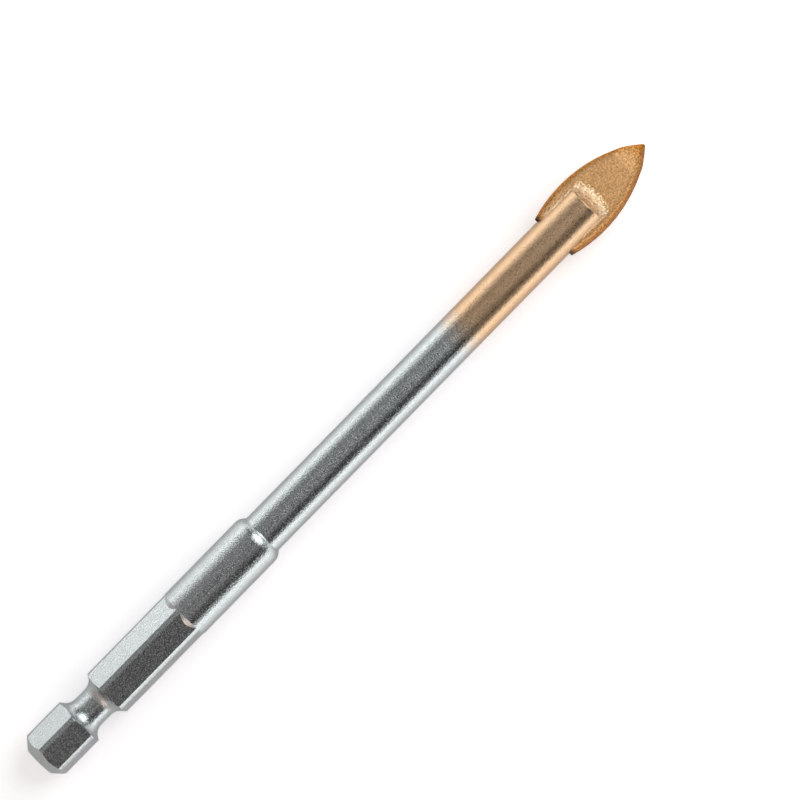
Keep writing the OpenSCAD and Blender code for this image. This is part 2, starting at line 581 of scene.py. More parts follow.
@dataclass(frozen=True)
class CoatedCarbide:
    """Sintered tungsten carbide, ground at its edges, with titanium nitride sputtered over it.

    Attributes:
        face: colour of the coated faces.
        ground: colour of the coated ground edges, deepened with painted shade that also reaches onto the
            faces
        near the edges and the point.
        bare: colour of the heel, uncoated carbide darkened to nearly black with painted shade.
        face_roughness: roughness of the sintered faces.
        ground_roughness: roughness of the ground edges.
        grain: width of the sintered grain. It is finer on the real plate and drawn as coarse as it shows.
        grain_depth: depth of that grain.
        grain_strengths: strength of that grain on the ground edges and on the faces.
        hollow: tint of its hollows, a painted shade.
        crest: tint of its crests, a painted highlight.
    """

    face: str = "#EDC38D"
    ground: str = "#AE6F24"
    bare: str = "#332D29"
    face_roughness: float = 0.7
    ground_roughness: float = 0.4
    grain: float = 0.22
    grain_depth: float = 0.012
    grain_strengths: tuple[float, float] = (1.3, 0.6)
    hollow: Tint = (0.55, 0.4, 0.2)
    crest: Tint = (1.4, 1.55, 1.75)

    def material(self) -> bpy.types.Material:
        """Builds the material, which reads the plate's own attributes for its ground edges and dark heel.

        Both carry painted shade as well as their own finish.

        Returns:
            The material.
        """
        # To the eye: the rough sintered faces make the gold pale and sandy. It deepens softly to orange along
        # the smoother ground edges and towards the point: partly the ground finish, partly painted shade.
        # The heel is nearly black: carbide that the coating missed, darkened further with painted shade.
        material, tree, place = surface_tree("sintered_carbide_nitride_coated")
        node = partial(add_node, tree)
        inset = node("ShaderNodeAttribute", attribute_name="inset").outputs["Fac"]
        bare = node("ShaderNodeAttribute", attribute_name="bare").outputs["Fac"]
        face = node("ShaderNodeMapRange", {"Value": inset}, interpolation_type="SMOOTHSTEP")
        grain = toned(tree, grained(tree, place, self.grain), face, self.grain_strengths)
        # Deeper orange towards the edges and the point: partly the ground finish, partly painted shade
        coats = {SHARE: face, COLOUR_A: linear(self.ground), COLOUR_B: linear(self.face)}
        coat = node("ShaderNodeMix", coats, data_type="RGBA").outputs[MIXED]
        # Nearly black at the heel: uncoated carbide, with painted shade on top
        metals = {SHARE: bare, COLOUR_A: coat, COLOUR_B: linear(self.bare)}
        metal = node("ShaderNodeMix", metals, data_type="RGBA").outputs[MIXED]
        levels = {"Value": face, "To Min": self.ground_roughness, "To Max": self.face_roughness}
        return speckle(material, self, metal, node("ShaderNodeMapRange", levels), grain)


@dataclass(frozen=True)
class CoatedBraze:
    """Silver braze that froze with a granular skin, blasted and coated with titanium nitride.

    Attributes:
        skin: colour of the coated skin.
        toe: colour where the braze is thin, paler as a painted highlight.
        plate: colour of the plate, into which its edge fades.
        roughness: roughness of the skin.
        plate_roughness: roughness of the plate.
        thin: share of the full thickness over which the edge fades.
        ragged: share of it by which grains push that fade to and fro.
        grain: width of the frozen grains.
        grain_depth: depth of those grains.
        hollow: tint between them, a painted shade.
        crest: tint on them, a painted highlight.
    """

    skin: str = "#CFB18D"
    toe: str = "#F8E0BE"
    plate: str = "#EDC38D"
    roughness: float = 0.5
    plate_roughness: float = 0.7
    thin: float = 0.34
    ragged: float = 0.34
    grain: float = 0.24
    grain_depth: float = 0.02
    hollow: Tint = (0.58, 0.5, 0.4)
    crest: Tint = (1.15, 1.18, 1.22)

    def material(self) -> bpy.types.Material:
        """Builds the material, which reads the braze's own attribute for its thickness.

        Returns:
            The material.
        """
        # To the eye: each frozen grain catches the light, so the fillets glitter more than the bar and plate.
        # Their edge breaks up into grains and ends in the plate's own gold. Where the braze thins towards
        # that edge it is paler, a painted highlight.
        material, tree, place = surface_tree("granular_braze_nitride_coated")
        node = partial(add_node, tree)
        thick = node("ShaderNodeAttribute", attribute_name="thick").outputs["Fac"]
        grain = grained(tree, place, self.grain)
        edge = node("ShaderNodeMath", {0: grain, 1: self.ragged, 2: thick}, operation="MULTIPLY_ADD")
        start = self.ragged / 2
        ends = {"Value": edge, "From Min": start, "From Max": start + self.thin}
        shown = node("ShaderNodeMapRange", ends, interpolation_type="SMOOTHSTEP")
        # Thin braze takes the paler toe colour: a painted highlight
        coats = {SHARE: thick, COLOUR_A: linear(self.toe), COLOUR_B: linear(self.skin)}
        coat = node("ShaderNodeMix", coats, data_type="RGBA").outputs[MIXED]
        metals = {SHARE: shown, COLOUR_A: linear(self.plate), COLOUR_B: coat}
        metal = node("ShaderNodeMix", metals, data_type="RGBA").outputs[MIXED]
        levels = {"Value": shown, "To Min": self.plate_roughness, "To Max": self.roughness}
        return speckle(material, self, metal, node("ShaderNodeMapRange", levels), grain)


@dataclass
class SteelBody:
    """The bar: hexagonal shank with its detent groove, collar, shoulder, shaft and slot.

    The bar is drawn as an unrolled sheet, whose vertices hold station, bearing and turned radius. A tree
    mills the flats with their run-outs into the radius, rolls the sheet up and saws the slot.

    Attributes:
        places: where the bit lies.
        finish: finish of the bar.
        end_face_r: radius of the flat end face.
        chamfer_len: length of the end chamfer.
        groove_pos: station of the middle of the groove.
        groove_r: radius at the groove's floor.
        groove_floor: length of the groove's straight floor.
        groove_wall_r: radius of the groove's walls.
        runout_angle: slope of the run-outs from the axis, in degrees.
        shoulder_start: station at which the collar ends.
        shoulder_r: radius of the shoulder.
        fillet_r: radius of the fillet at the shoulder's foot.
        shaft_r: radius of the shaft.
        shaft_edge: rounding of the shaft's end.
        edge_break: how far the turned edges are cut back.
        crease: width over which milled and turned faces run into each other.
        flat_sink: how much deeper the flats are drawn than the solid's, for the narrow corners of the photo.
        slot_w: width of the slot.
        slot_gap: clearance between the slot's floor and the heel.
        curve_steps: pieces of the groove's walls and of the shoulder.
        fillet_steps: pieces of the fillet.
        edge_steps: pieces of a broken edge.
        row_step: distance of the rows that are added where flats meet turned faces.
        row_margin: how far those rows go on past such a meeting.
        row_reach: how far they go on into the groove.
        row_least: least distance of such a row from the next.
        column_step: angle between columns, in degrees.
        crease_columns: angles from the edge of a flat at which columns are added, in degrees.
        column_least: least angle between columns, in degrees.
        sharp_angle: bend past which an edge is shaded sharp, in degrees.
    """

    places: Places
    finish: PlatedSteel
    end_face_r: float = 2.05
    chamfer_len: float = 1.26
    groove_pos: float = 9.5
    groove_r: float = 2.25
    groove_floor: float = 1.6
    groove_wall_r: float = 1.75
    runout_angle: float = 27.0
    shoulder_start: float = 38.2
    shoulder_r: float = 1.6
    fillet_r: float = 0.4
    shaft_r: float = 2.8
    shaft_edge: float = 0.15
    edge_break: float = 0.1
    crease: float = 0.018
    flat_sink: float = 0.04
    slot_w: float = 2.2
    slot_gap: float = 0.1
    curve_steps: int = 14
    fillet_steps: int = 8
    edge_steps: int = 5
    row_step: float = 0.025
    row_margin: float = 0.1
    row_reach: float = 0.4
    row_least: float = 0.005
    column_step: float = 1.25
    crease_columns: tuple[float, ...] = (0.0, 0.15, 0.35, 0.6, 0.9)
    column_least: float = 0.1
    sharp_angle: float = 35.0

    @property
    def flat_r(self) -> float:
        """Distance of the drawn flats from the axis."""
        return self.places.flat_r - self.flat_sink

    @property
    def runout_slope(self) -> float:
        """Rise of the run-outs along the axis."""
        return math.tan(math.radians(self.runout_angle))

    @property
    def runout_start(self) -> float:
        """Station at which the run-outs leave the flats."""
        return self.places.flats_end - (self.places.bar_r - self.flat_r) / self.runout_slope

    def groove(self) -> tuple[list[Vector], list[float]]:
        """Draws the groove's outline, from its edge nearest the end face.

        Returns:
            The corners and the cut of each.
        """
        top, half = self.groove_r + self.groove_wall_r, self.groove_floor / 2
        turn = math.asin((top - self.places.bar_r) / self.groove_wall_r)
        corners = []
        for station, start, end in ((-half, math.pi + turn, DOWN), (half, DOWN, 2 * math.pi - turn)):
            centre = (self.groove_pos + station, top)
            corners += arc(centre, self.groove_wall_r, start, end, self.curve_steps)
        return corners, [self.edge_break] + [0.0] * (len(corners) - 2) + [self.edge_break]

    def shoulder(self) -> list[Vector]:
        """Draws the rounded shoulder and the fillet at its foot.

        Returns:
            The points of both.
        """
        reach = self.shoulder_r + self.fillet_r
        turn = math.asin((reach - self.places.bar_r + self.shaft_r) / reach)
        centre = (self.shoulder_start, self.places.bar_r - self.shoulder_r)
        foot = (self.shoulder_start + reach * math.cos(turn), self.shaft_r + self.fillet_r)
        crown = arc(centre, self.shoulder_r, math.pi / 2, turn, self.curve_steps)
        return crown + arc(foot, self.fillet_r, math.pi + turn, DOWN, self.fillet_steps)[1:]

    def outline(self) -> list[Vector]:
        """Draws the turned outline, from the axis at the end face to the axis at the shaft's end.

        Returns:
            Station and radius of each point.
        """
        bar_r, end = self.places.bar_r, self.places.shaft_end
        groove, groove_cuts = self.groove()
        shoulder = self.shoulder()
        corners = [Vector((0, 0)), Vector((0, self.end_face_r)), Vector((self.chamfer_len, bar_r))]
        corners += groove + shoulder + [Vector((end, self.shaft_r)), Vector((end, 0))]
        cuts = [0.0, self.edge_break, self.edge_break] + groove_cuts + [0.0] * len(shoulder)
        cuts += [self.shaft_edge, 0.0]
        return self.with_rows(rounded(corners, cuts, self.edge_steps, closed=False))

    def with_rows(self, points: list[Vector]) -> list[Vector]:
        """Adds rows where flats meet turned faces, because those edges run slantwise over the sheet.

        Args:
            points: the outline.

        Returns:
            The outline with the added points.
        """
        bar_r = self.places.bar_r
        meeting = self.chamfer_len * (self.flat_r - self.end_face_r) / (bar_r - self.end_face_r)
        edge = self.groove_floor / 2 + self.groove_wall_r
        near, far = self.groove_pos - edge, self.groove_pos + edge
        margin, reach, step, least = self.row_margin, self.row_reach, self.row_step, self.row_least
        zones = (
            (meeting - margin, self.chamfer_len + margin),
            (near - margin, near + reach),
            (far - reach, far + margin),
            (self.runout_start - margin, self.places.flats_end + margin),
        )
        stations = [low + k * step for low, high in zones for k in range(round((high - low) / step) + 1)]
        result = [points[0]]
        for last, here in zip(points, points[1:]):
            between = [s for s in stations if last.x + least < s < here.x - least]
            result += [last.lerp(here, (s - last.x) / (here.x - last.x)) for s in between]
            result.append(here)
        return result

    def bearings(self) -> list[float]:
        """Spaces the sheet's columns, closest at the edges of the flats.

        Returns:
            Bearing of each column, in radians.
        """
        crease = math.degrees(math.acos(self.flat_r / self.places.bar_r))
        sector = {self.column_step * k - SECTOR / 2 for k in range(round(SECTOR / self.column_step))}
        for side in (-1, 1):
            sector |= {side * crease + sign * gap for gap in self.crease_columns for sign in (-1, 1)}
        turns = sorted(SECTOR * k + offset for k in range(FLATS) for offset in sector)
        columns = [turn for turn, after in zip(turns, turns[1:]) if after - turn > self.column_least]
        columns += [turns[-1], columns[0] + TURN]
        return [self.places.flat_bearing + math.radians(turn) for turn in columns]

    def sheet(self) -> bpy.types.Mesh:
        """Draws the unrolled bar as a grid of vertices at station, bearing and turned radius.

        Returns:
            The mesh.
        """
        rows, columns = self.outline(), self.bearings()
        points = [Vector((row.x * MM, bearing, row.y * MM)) for row in rows for bearing in columns]
        return new_mesh("unrolled_bar", points, grid_faces(len(rows), len(columns)))

    def tree(self) -> bpy.types.NodeTree:
        """Builds the tree that mills, rolls up and slots the sheet.

        Returns:
            The tree.
        """
        tree, size = geometry_tree("Turned And Milled Bar", (
            "Shank End", "Axis Height", "Flat Radius", "Flat Bearing", "Runout Start", "Runout Slope",
            "Crease", "Slot Width", "Saw Length", "Saw Middle",
        ))
        node = partial(add_node, tree)
        sheet = node("ShaderNodeSeparateXYZ", {0: node("GeometryNodeInputPosition")})
        station, bearing, turned = sheet.outputs
        half = math.radians(SECTOR / 2)
        past_flat = node("ShaderNodeMath", {0: bearing, 1: size["Flat Bearing"]}, operation="SUBTRACT")
        from_flat = node("ShaderNodeMath", {0: past_flat, 1: half, 2: -half}, operation="WRAP")
        lean = node("ShaderNodeMath", {0: from_flat}, operation="COSINE")
        flat = node("ShaderNodeMath", {0: size["Flat Radius"], 1: lean}, operation="DIVIDE")
        rise = node("ShaderNodeMath", {0: station, 1: size["Runout Start"]}, operation="SUBTRACT")
        slope = {0: rise, 1: size["Runout Slope"], 2: size["Flat Radius"]}
        cone = node("ShaderNodeMath", slope, operation="MULTIPLY_ADD")
        milled = node("ShaderNodeMath", {0: flat, 1: cone, 2: size["Crease"]}, operation="SMOOTH_MAX")
        radius = node("ShaderNodeMath", {0: turned, 1: milled, 2: size["Crease"]}, operation="SMOOTH_MIN")
        along = node("ShaderNodeMath", {0: station, 1: size["Shank End"]})
        sine = node("ShaderNodeMath", {0: bearing}, operation="SINE")
        cosine = node("ShaderNodeMath", {0: bearing}, operation="COSINE")
        across = node("ShaderNodeMath", {0: radius, 1: sine}, operation="MULTIPLY")
        over_axis = {0: radius, 1: cosine, 2: size["Axis Height"]}
        height = node("ShaderNodeMath", over_axis, operation="MULTIPLY_ADD")
        rolled = node("ShaderNodeCombineXYZ", {0: along, 1: across, 2: height})
        bar = node("GeometryNodeSetPosition", {0: size["Geometry"], "Position": rolled})
        closed = node("GeometryNodeMergeByDistance", {0: bar, "Distance": WELD})
        length = size["Saw Length"]
        block = node("ShaderNodeCombineXYZ", {0: length, 1: length, 2: size["Slot Width"]})
        saw = node("GeometryNodeMeshCube", {"Size": block})
        middle = node("ShaderNodeMath", {0: size["Shank End"], 1: size["Saw Middle"]})
        seat = node("ShaderNodeCombineXYZ", {0: middle, 2: size["Axis Height"]})
        placed = node("GeometryNodeTransform", {0: saw, "Translation": seat})
        both = {"Mesh 1": closed, "Mesh 2": placed}
        slotted = node("GeometryNodeMeshBoolean", both, operation="DIFFERENCE", solver="MANIFOLD")
        smooth = node("GeometryNodeSetShadeSmooth", {0: slotted, "Shade Smooth": True})
        bends = {0: node("GeometryNodeInputMeshEdgeAngle"), 1: math.radians(self.sharp_angle)}
        soft = node("FunctionNodeCompare", bends, operation="LESS_THAN")
        creased = node("GeometryNodeSetShadeSmooth", {0: smooth, "Shade Smooth": soft}, domain="EDGE")
        end_tree(tree, creased, size["Material"])
        return tree

    def build(self) -> bpy.types.Object:
        """Makes the bar, dresses it and puts it in its node's place.

        Returns:
            The piece.
        """
        places = self.places
        values = {
            "Shank End": places.shank_end,
            "Axis Height": places.axis_height,
            "Flat Radius": self.flat_r * MM,
            "Flat Bearing": places.flat_bearing,
            "Runout Start": self.runout_start * MM,
            "Runout Slope": self.runout_slope,
            "Crease": self.crease * MM,
            "Slot Width": self.slot_w * MM,
            "Saw Length": 2 * (places.shaft_end - places.heel + self.slot_gap) * MM,
            "Saw Middle": places.shaft_end * MM,
            "Material": self.finish.material(places),
        }
        piece = grown("shank_and_shaft", self.sheet(), self.tree(), values)
        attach(piece, BODY)
        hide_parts("steel_body")
        return piece


@dataclass
class CarbidePlate:
    """The spear plate: two faces, and along each edge a ground relief wall with a honed land.

    The plate is lofted from sections across the axis, and it is the same when it is turned half round.

    Attributes:
        places: where the bit lies.
        finish: finish of the plate.
        cutting_d: width over the cutting edges.
        point_len: distance from the widest place to the point.
        relief_w: width of a relief wall, seen from above.
        land_w: width of a land, seen from above.
        land_angle: slope of the land, in degrees.
        bevel_len: length of the bevels behind the point.
        point_t: thickness at the point.
        heel_chamfer: chamfer along the heel's edges.
        relief_round: rounding between a face and a relief wall.
        edge_round: rounding of the cutting edges and the lands.
        bevel_blend: width over which faces and bevels run into each other.
        heel_blend: width over which faces and the heel's chamfers run into each other.
        relief_fade: how far in from a relief's edge the face turns orange, partly as painted shade.
        land_fade: how far in from a land's edge the face turns orange, partly as painted shade.
        point_fade: how far behind the point the face turns orange, partly as painted shade.
        dark_heel_len: stretch at the heel that is darkened: carbide that the coating missed, with painted
            shade.
        dark_heel_fade: length over which that darkening gives way to the coating ahead of it.
        nose: blunt stretch that is left off the very point.
        corner_steps: pieces of each rounding across the axis.
        supports: places of the points between roundings, as shares of the stretch that they hold flat.
        heel_hold: distance from the heel of the section that holds its edge.
        chamfer_hold: distance from the chamfers' end of the sections that hold it.
        bevel_hold: how far on either side of the bevels' start sections are close.
        face_rows: sections along the faces.
        bevel_rows: sections where the bevels start, and again from there to the point.
        sharp_angle: bend past which an edge is shaded sharp, in degrees.
    """

    places: Places
    finish: CoatedCarbide
    cutting_d: float = 8.0
    point_len: float = 10.9
    relief_w: float = 0.9
    land_w: float = 0.35
    land_angle: float = 40.0
    bevel_len: float = 3.6
    point_t: float = 0.35
    heel_chamfer: float = 0.45
    relief_round: float = 0.7
    edge_round: float = 0.2
    bevel_blend: float = 0.12
    heel_blend: float = 0.04
    relief_fade: float = 1.7
    land_fade: float = 0.95
    point_fade: float = 4.0
    dark_heel_len: float = 0.22
    dark_heel_fade: float = 0.6
    nose: float = 0.03
    corner_steps: int = 6
    supports: tuple[float, ...] = (0.02, 0.25, 0.5, 0.75, 0.98)
    heel_hold: float = 0.02
    chamfer_hold: float = 0.05
    bevel_hold: float = 0.6
    face_rows: int = 40
    bevel_rows: int = 24
    sharp_angle: float = 40.0

    @property
    def face(self) -> float:
        """Height of the faces over the axis."""
        return self.places.plate_t / 2

    @property
    def land_slope(self) -> float:
        """Fall of a land across its width."""
        return math.tan(math.radians(self.land_angle))

    @property
    def edge(self) -> float:
        """Height of the cutting edge on the +Y side over the axis."""
        return self.face - self.land_w * self.land_slope

    def half_width(self, station: float, height: float) -> float:
        """Offset of the +Y wall of the plate.

        Args:
            station: distance along the bit.
            height: height over the axis.

        Returns:
            The offset towards +Y.
        """
        middle = self.cutting_d / 2 - self.relief_w * self.edge / self.places.plate_t
        radius = (self.point_len ** 2 + middle ** 2) / (2 * middle)
        centre = radius - middle
        along = station - (self.places.point - self.point_len)
        relief = radius + self.relief_w * height / self.places.plate_t
        land = centre + self.cutting_d / 2 - (height - self.edge) / self.land_slope
        return math.sqrt(min(relief, land) ** 2 - along ** 2) - centre

    def half_thickness(self, station: float) -> float:
        """Height of the upper face over the axis.

        Args:
            station: distance along the bit.

        Returns:
            The height.
        """
        thin = self.point_t / 2
        bevel = thin + (self.places.point - station) * (self.face - thin) / self.bevel_len
        heel = self.face - self.heel_chamfer + station - self.places.heel
        return smooth_min(smooth_min(self.face, bevel, self.bevel_blend), heel, self.heel_blend)

    def section(self, station: float) -> list[Vector]:
        """Draws the outline of the plate across the axis.

        Args:
            station: distance along the bit.

        Returns:
            Offset towards +Y and height over the axis of each point.
        """
        top = self.half_thickness(station)
        heights = (top, min(self.edge, top), -top)
        half = [Vector((self.half_width(station, height), height)) for height in heights]
        corners = half + [-corner for corner in half]
        cuts = [self.edge_round, self.edge_round, self.relief_round] * 2
        return self.with_supports(rounded(corners, cuts, self.corner_steps, closed=True))

    def with_supports(self, outline: list[Vector]) -> list[Vector]:
        """Adds points on the stretches between the roundings, so that smooth shading stays flat there.

        Args:
            outline: the outline.

        Returns:
            The outline with the added points.
        """
        result = []
        for i, (here, after) in enumerate(zip(outline, outline[1:] + outline[:1])):
            result.append(here)
            if i % (self.corner_steps + 1) == self.corner_steps:
                result += [here.lerp(after, share) for share in self.supports]
        return result

    def stations(self) -> list[float]:
        """Spaces the sections, closest at the heel, where the bevels start and at the point.

        Returns:
            Station of each section.
        """
        heel, end = self.places.heel, self.places.point - self.nose
        chamfer, crest = heel + self.heel_chamfer, self.places.point - self.bevel_len
        before, past = crest - self.bevel_hold, crest + self.bevel_hold
        hold = self.chamfer_hold
        marks = [heel, heel + self.heel_hold, chamfer - hold, chamfer, chamfer + hold]
        marks += spread(chamfer, before, self.face_rows)[1:]
        marks += spread(before, past, self.bevel_rows)[1:]
        return marks + spread(past, end, self.bevel_rows)[1:]

    def mesh(self) -> bpy.types.Mesh:
        """Lofts the sections, and marks how far in from the edges they are and where the heel is dark, for
        painted shade.

        Returns:
            The mesh.
        """
        stations = self.stations()
        points, inset, bare = [], [], []
        for station in stations:
            # Nearness to the edges and the point, where the colour deepens: partly ground finish, partly
            # painted shade
            to_point = (self.places.point - station) / self.point_fade
            # The heel's dark stretch: carbide that the coating missed, darkened further with painted shade
            coated = (station - self.places.heel - self.dark_heel_len) / self.dark_heel_fade
            edge = self.half_width(station, min(self.edge, self.half_thickness(station)))
            for spot in self.section(station):
                points.append(self.places.at(station, spot.x, spot.y))
                fade = self.land_fade if spot.x * spot.y > 0 else self.relief_fade
                inset.append(min((edge - abs(spot.x)) / fade, to_point))
                bare.append(min(1.0, max(0.0, 1 - coated)))
        faces = grid_faces(len(stations), len(points) // len(stations), tube=True)
        mesh = new_mesh("spear_plate", points, faces, {"inset": inset, "bare": bare})
        weld(mesh)
        mesh.set_sharp_from_angle(angle=math.radians(self.sharp_angle))
        mesh.materials.append(self.finish.material())
        return mesh

    def build(self) -> bpy.types.Object:
        """Makes the plate and puts it in its node's place.

        Returns:
            The piece.
        """
        piece = new_object("spear_plate", self.mesh())
        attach(piece, BODY)
        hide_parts("carbide_tip")
        return piece


@dataclass
class BrazeJoint:
    """The braze: a film in the slot, a hollow front on each face and a hollow seam in each corner.

    Attributes:
        places: where the bit lies.
        plate: the plate that the braze holds.
        body: the bar with the slot.
        finish: finish of the braze.
        film: thickness of the film.
        reach: how far the fronts run out ahead of the shaft.
        toe_r: radius of the fronts' curved toe, seen from above.
        toe_sink: how far under the plate's face that toe ends.
        front_hollow: radius of the fronts' hollow.
        front_r: radius about the bit's axis that the fronts stay within.
        front_rows: rows of a front, from the shaft to the toe.
        front_columns: columns of a front.
        root_rows: rows at the shaft over which the grains come in.
        toe_rows: rows at the toe over which they go out.
        seam_w: width of the seams on the plate.
        seam_least: width at which they start.
        seam_climb: their width on the shaft, as a share of that on the plate.
        seam_pull: how far from the corner their hollow is pulled, as shares of that width.
        seam_rows: rows of a seam.
        seam_columns: columns of a seam's hollow.
        taper_rows: rows over which a seam grows to its width.
        bury: how far the fillets go under the surfaces that they lie on.
        full: thickness from which the braze has its full colour, beyond the painted highlight where it is
            thin.
        lump_w: width of the lumps that the braze froze in.
        lump_h: height of those lumps.
        grain_w: width of the grains on them.
        grain_h: height of those grains.
        detail: finer layers of lumps and grains.
        seed: seed of the lumps and grains.
        sharp_angle: bend past which an edge is shaded sharp, in degrees.
    """

    places: Places
    plate: CarbidePlate
    body: SteelBody
    finish: CoatedBraze
    film: float = 0.1
    reach: float = 2.3
    toe_r: float = 6.0
    toe_sink: float = 0.02
    front_hollow: float = 3.0
    front_r: float = 2.95
    front_rows: int = 56
    front_columns: int = 120
    root_rows: int = 6
    toe_rows: int = 2
    seam_w: float = 0.38
    seam_least: float = 0.02
    seam_climb: float = 1.1
    seam_pull: tuple[float, float] = (0.18, 0.12)
    seam_rows: int = 80
    seam_columns: int = 10
    taper_rows: int = 8
    bury: float = 0.1
    full: float = 0.5
    lump_w: float = 0.5
    lump_h: float = 0.12
    grain_w: float = 0.17
    grain_h: float = 0.07
    detail: float = 1.0
    seed: float = 3.0
    sharp_angle: float = 50.0

    def film_shell(self) -> Shell:
        """Film that wraps the plate in the slot: a flat U with the heel in its bend.

        Returns:
            The shell.
        """
        face, heel, chamfer = self.plate.face, self.places.heel, self.plate.heel_chamfer
        wall, back = face + self.film, heel - self.film
        front = self.places.shaft_end - self.film / 2
        side = [
            (front, wall), (back, wall), (back, -wall), (front, -wall), (front, -face),
            (heel + chamfer, -face), (heel, chamfer - face),
            (heel, face - chamfer), (heel + chamfer, face), (front, face),
        ]
        radius = self.body.shaft_r - self.film / 2
        points = [
            self.places.at(station, sign * math.sqrt(radius ** 2 - height ** 2), height)
            for sign in (-1, 1)
            for station, height in side
        ]
        return points, grid_faces(2, len(side), tube=True), [0.0] * len(points)

    def front_arc(self) -> Vector:
        """Finds the centre of the fronts' hollow.

        Returns:
            Its distance from the fronts' upright axis and its height over the bit's axis.
        """
        top = Vector((self.toe_r - self.reach - self.film, self.body.shaft_r - self.body.shaft_edge))
        toe = Vector((self.toe_r, self.plate.face - self.toe_sink))
        span = toe - top
        out = math.sqrt(self.front_hollow ** 2 - (span.length / 2) ** 2)
        return (top + toe) / 2 + Vector((-span.y, span.x)).normalized() * out

    def front_shell(self, side: Side) -> Shell:
        """Hollow front on one face of the plate, turned about an upright axis behind the shaft's end.

        Args:
            side: which face.

        Returns:
            The shell.
        """
        rows, columns, sign = self.front_rows, self.front_columns, side.value
        centre = self.front_arc()
        axis_back = self.toe_r - self.reach
        low, start = self.plate.face - self.bury, -self.bury / 2
        half_w = math.sqrt(self.front_r ** 2 - low ** 2)
        points, free = [], []
        for i in range(rows + 1):
            for j in range(columns + 1):
                across = -half_w * math.cos(math.pi * j / columns)
                toe = math.sqrt(self.toe_r ** 2 - across ** 2) - axis_back
                ahead = start + (toe - start) * i / rows
                from_axis = math.hypot(across, ahead + axis_back)
                hollow = centre.y - math.sqrt(self.front_hollow ** 2 - (from_axis - centre.x) ** 2)
                dome = math.sqrt(max(self.front_r ** 2 - across ** 2, low ** 2))
                height = max(smooth_min(hollow, dome, self.bury), low)
                points.append(self.places.at(self.places.shaft_end + ahead, sign * across, sign * height))
                inner = 0 < j < columns
                free.append(min(1.0, i / self.root_rows, (rows - i) / self.toe_rows) if inner else 0.0)
        width = columns + 1
        left = [i * width for i in range(rows + 1)]
        right = [i * width + columns for i in reversed(range(rows))]
        toe_row = list(range(rows * width + 1, rows * width + width))
        caps = [tuple(range(width)), tuple(reversed(left + toe_row + right))]
        return points, grid_faces(rows + 1, width) + caps, free

    def seam_shell(self, side: Side, sign: int) -> Shell:
        """Hollow seam in one corner between the shaft and the plate.

        Args:
            side: face of the plate.
            sign: 1 for the seam on the land's side of that face, -1 for the seam on the relief's side.

        Returns:
            The shell.
        """
        rows, columns, bury = self.seam_rows, self.seam_columns, self.bury
        face, radius = self.plate.face, self.body.shaft_r
        start = self.places.heel + self.plate.heel_chamfer + self.film
        corner = Vector((math.sqrt(radius ** 2 - face ** 2), face))
        down = Vector((0, bury))
        points, free = [], []
        for i, station in enumerate(spread(start, self.places.shaft_end, rows)):
            room = self.plate.half_width(station, sign * face) - self.plate.relief_round / 2 - corner.x
            taper = math.sqrt(min(1.0, i / self.taper_rows))
            width = max(self.seam_least, min(self.seam_w, room) * taper)
            rise = math.atan2(corner.y, corner.x) + self.seam_climb * width / radius
            on_shaft = Vector((math.cos(rise), math.sin(rise))) * radius
            on_plate = corner + Vector((width, 0))
            section = [on_shaft * (1 - bury / radius)]
            section += bowed(on_shaft, corner + Vector(self.seam_pull) * width, on_plate, columns)
            section += [on_plate - down, corner * (1 - bury / radius) - down]
            for k, spot in enumerate(section):
                points.append(self.places.at(station, side.value * sign * spot.x, side.value * spot.y))
                free.append(1.0 if 1 < k < columns + 1 and 0 < i < rows else 0.0)
        faces = grid_faces(rows + 1, len(section), tube=True)
        if sign < 0:
            faces = [tuple(reversed(corners)) for corners in faces]
        return points, faces, free

    def base(self) -> bpy.types.Mesh:
        """Joins the film, the fronts and the seams into one mesh of closed shells.

        Returns:
            The mesh.
        """
        shells = [self.film_shell()]
        for side in Side:
            shells.append(self.front_shell(side))
            shells += [self.seam_shell(side, sign) for sign in (1, -1)]
        points: list[Vector] = []
        faces: Faces = []
        free: list[float] = []
        for shell_points, shell_faces, shell_free in shells:
            first = len(points)
            points += shell_points
            faces += [tuple(first + corner for corner in face) for face in shell_faces]
            free += shell_free
        heights = [abs(point.z - self.places.axis_height) / MM for point in points]
        thick = [min(1.0, max(0.0, (height - self.plate.face) / self.full)) for height in heights]
        return new_mesh("smooth_braze", points, faces, {"free": free, "thick": thick})

    def tree(self) -> bpy.types.NodeTree:
        """Builds the tree that raises lumps and grains on the free surfaces of the braze.

        Returns:
            The tree.
        """
        tree, size = geometry_tree(
            "Frozen Braze", ("Lump Width", "Lump Height", "Grain Width", "Grain Height", "Detail", "Seed")
        )
        node = partial(add_node, tree)
        place = node("GeometryNodeInputPosition")
        lifts = []
        for name in ("Lump", "Grain"):
            scale = node("ShaderNodeMath", {0: 1.0, 1: size[f"{name} Width"]}, operation="DIVIDE")
            pattern = {"Vector": place, "W": size["Seed"], "Scale": scale, "Detail": size["Detail"]}
            noise = node("ShaderNodeTexNoise", pattern, noise_dimensions="4D")
            middle = node("ShaderNodeMath", {0: noise, 1: NOISE_MIDDLE}, operation="SUBTRACT")
            lifts.append(node("ShaderNodeMath", {0: middle, 1: size[f"{name} Height"]}, operation="MULTIPLY"))
        total = node("ShaderNodeMath", dict(enumerate(lifts)))
        free = node("GeometryNodeInputNamedAttribute", {"Name": "free"}, data_type="FLOAT")
        held = node("ShaderNodeMath", {0: total, 1: free}, operation="MULTIPLY")
        pushed = {0: node("GeometryNodeInputNormal"), "Scale": held}
        offset = node("ShaderNodeVectorMath", pushed, operation="SCALE")
        frozen = node("GeometryNodeSetPosition", {0: size["Geometry"], "Offset": offset})
        welded = node("GeometryNodeMergeByDistance", {0: frozen, "Distance": WELD})
        end_tree(tree, welded, size["Material"])
        return tree

